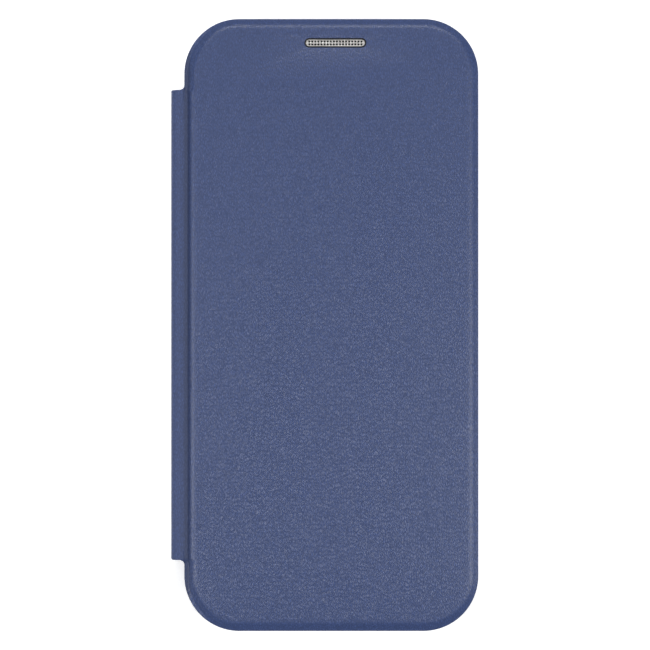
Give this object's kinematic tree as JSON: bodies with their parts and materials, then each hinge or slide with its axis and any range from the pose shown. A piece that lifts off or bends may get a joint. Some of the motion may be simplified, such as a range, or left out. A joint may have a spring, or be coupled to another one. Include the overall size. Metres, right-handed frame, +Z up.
{
  "type": "folding phone wallet case",
  "caption": "Folding leather-look phone case with moulded inner tray, hinged cover and spine, hidden magnets, card pocket and slotted earpiece grille.",
  "frame": {"origin": "middle of the footprint, on the surface that the closed case lies on", "axes": "+X from the spine to the free edge, +Y towards the earpiece end, +Z up through the cover"},
  "size_m": [0.083, 0.1656, 0.0146],
  "materials": {
    "leather": "fine embossed grain, satin",
    "moulded_tray": "soft moulded, fine spark texture",
    "lining_cloth": "brushed microfibre",
    "board": "grey board",
    "adhesive": "clear tape",
    "plated_steel": "nickel plated",
    "grille_steel": "satin perforated plate",
    "dark_metal": "satin black"
  },
  "bodies": {
    "tray": {"back_skin": "leather", "back_board": "board", "tray_adhesive": "adhesive", "camera_bezel": "moulded_tray", "phone_tray": "moulded_tray", "tray_lining": "lining_cloth", "tray_keeper_upper": "plated_steel", "tray_keeper_lower": "plated_steel", "back_fold_leather": "leather"},
    "spine": {"spine_skin": "leather", "spine_board": "board", "spine_lining": "lining_cloth", "cover_fold_leather": "leather"},
    "cover": {"cover_skin": "leather", "cover_board": "board", "cover_lining": "lining_cloth", "card_pocket": "lining_cloth", "grille_rim": "dark_metal", "earpiece_grille": "grille_steel", "cover_magnet_upper": "plated_steel", "cover_magnet_lower": "plated_steel"},
    "volume": {"volume_rocker": "moulded_tray"},
    "power": {"power_button": "moulded_tray"}
  },
  "joints": [
    {"name": "spine_fold", "type": "hinge", "parent": "tray", "child": "spine", "pos_m": [-0.03895, 0, 0.0025], "axis": [0, -1, 0], "range_deg": [0, 90], "deforming": ["back_fold_leather"]},
    {"name": "cover_fold", "type": "hinge", "parent": "spine", "child": "cover", "pos_m": [-0.03895, 0, 0.0121], "axis": [0, -1, 0], "range_deg": [0, 90], "deforming": ["cover_fold_leather"]},
    {"name": "volume_tilt", "type": "hinge", "parent": "tray", "child": "volume", "pos_m": [0.0403, 0.0414, 0.0071], "axis": [0, 0, 1], "range_deg": [-1.5, 1.5], "stiffness_Nm_per_rad": 0.6},
    {"name": "power_press", "type": "slide", "parent": "tray", "child": "power", "axis": [-1, 0, 0], "range_m": [0, 0.0004], "stiffness_N_per_m": 2500}
  ]
}
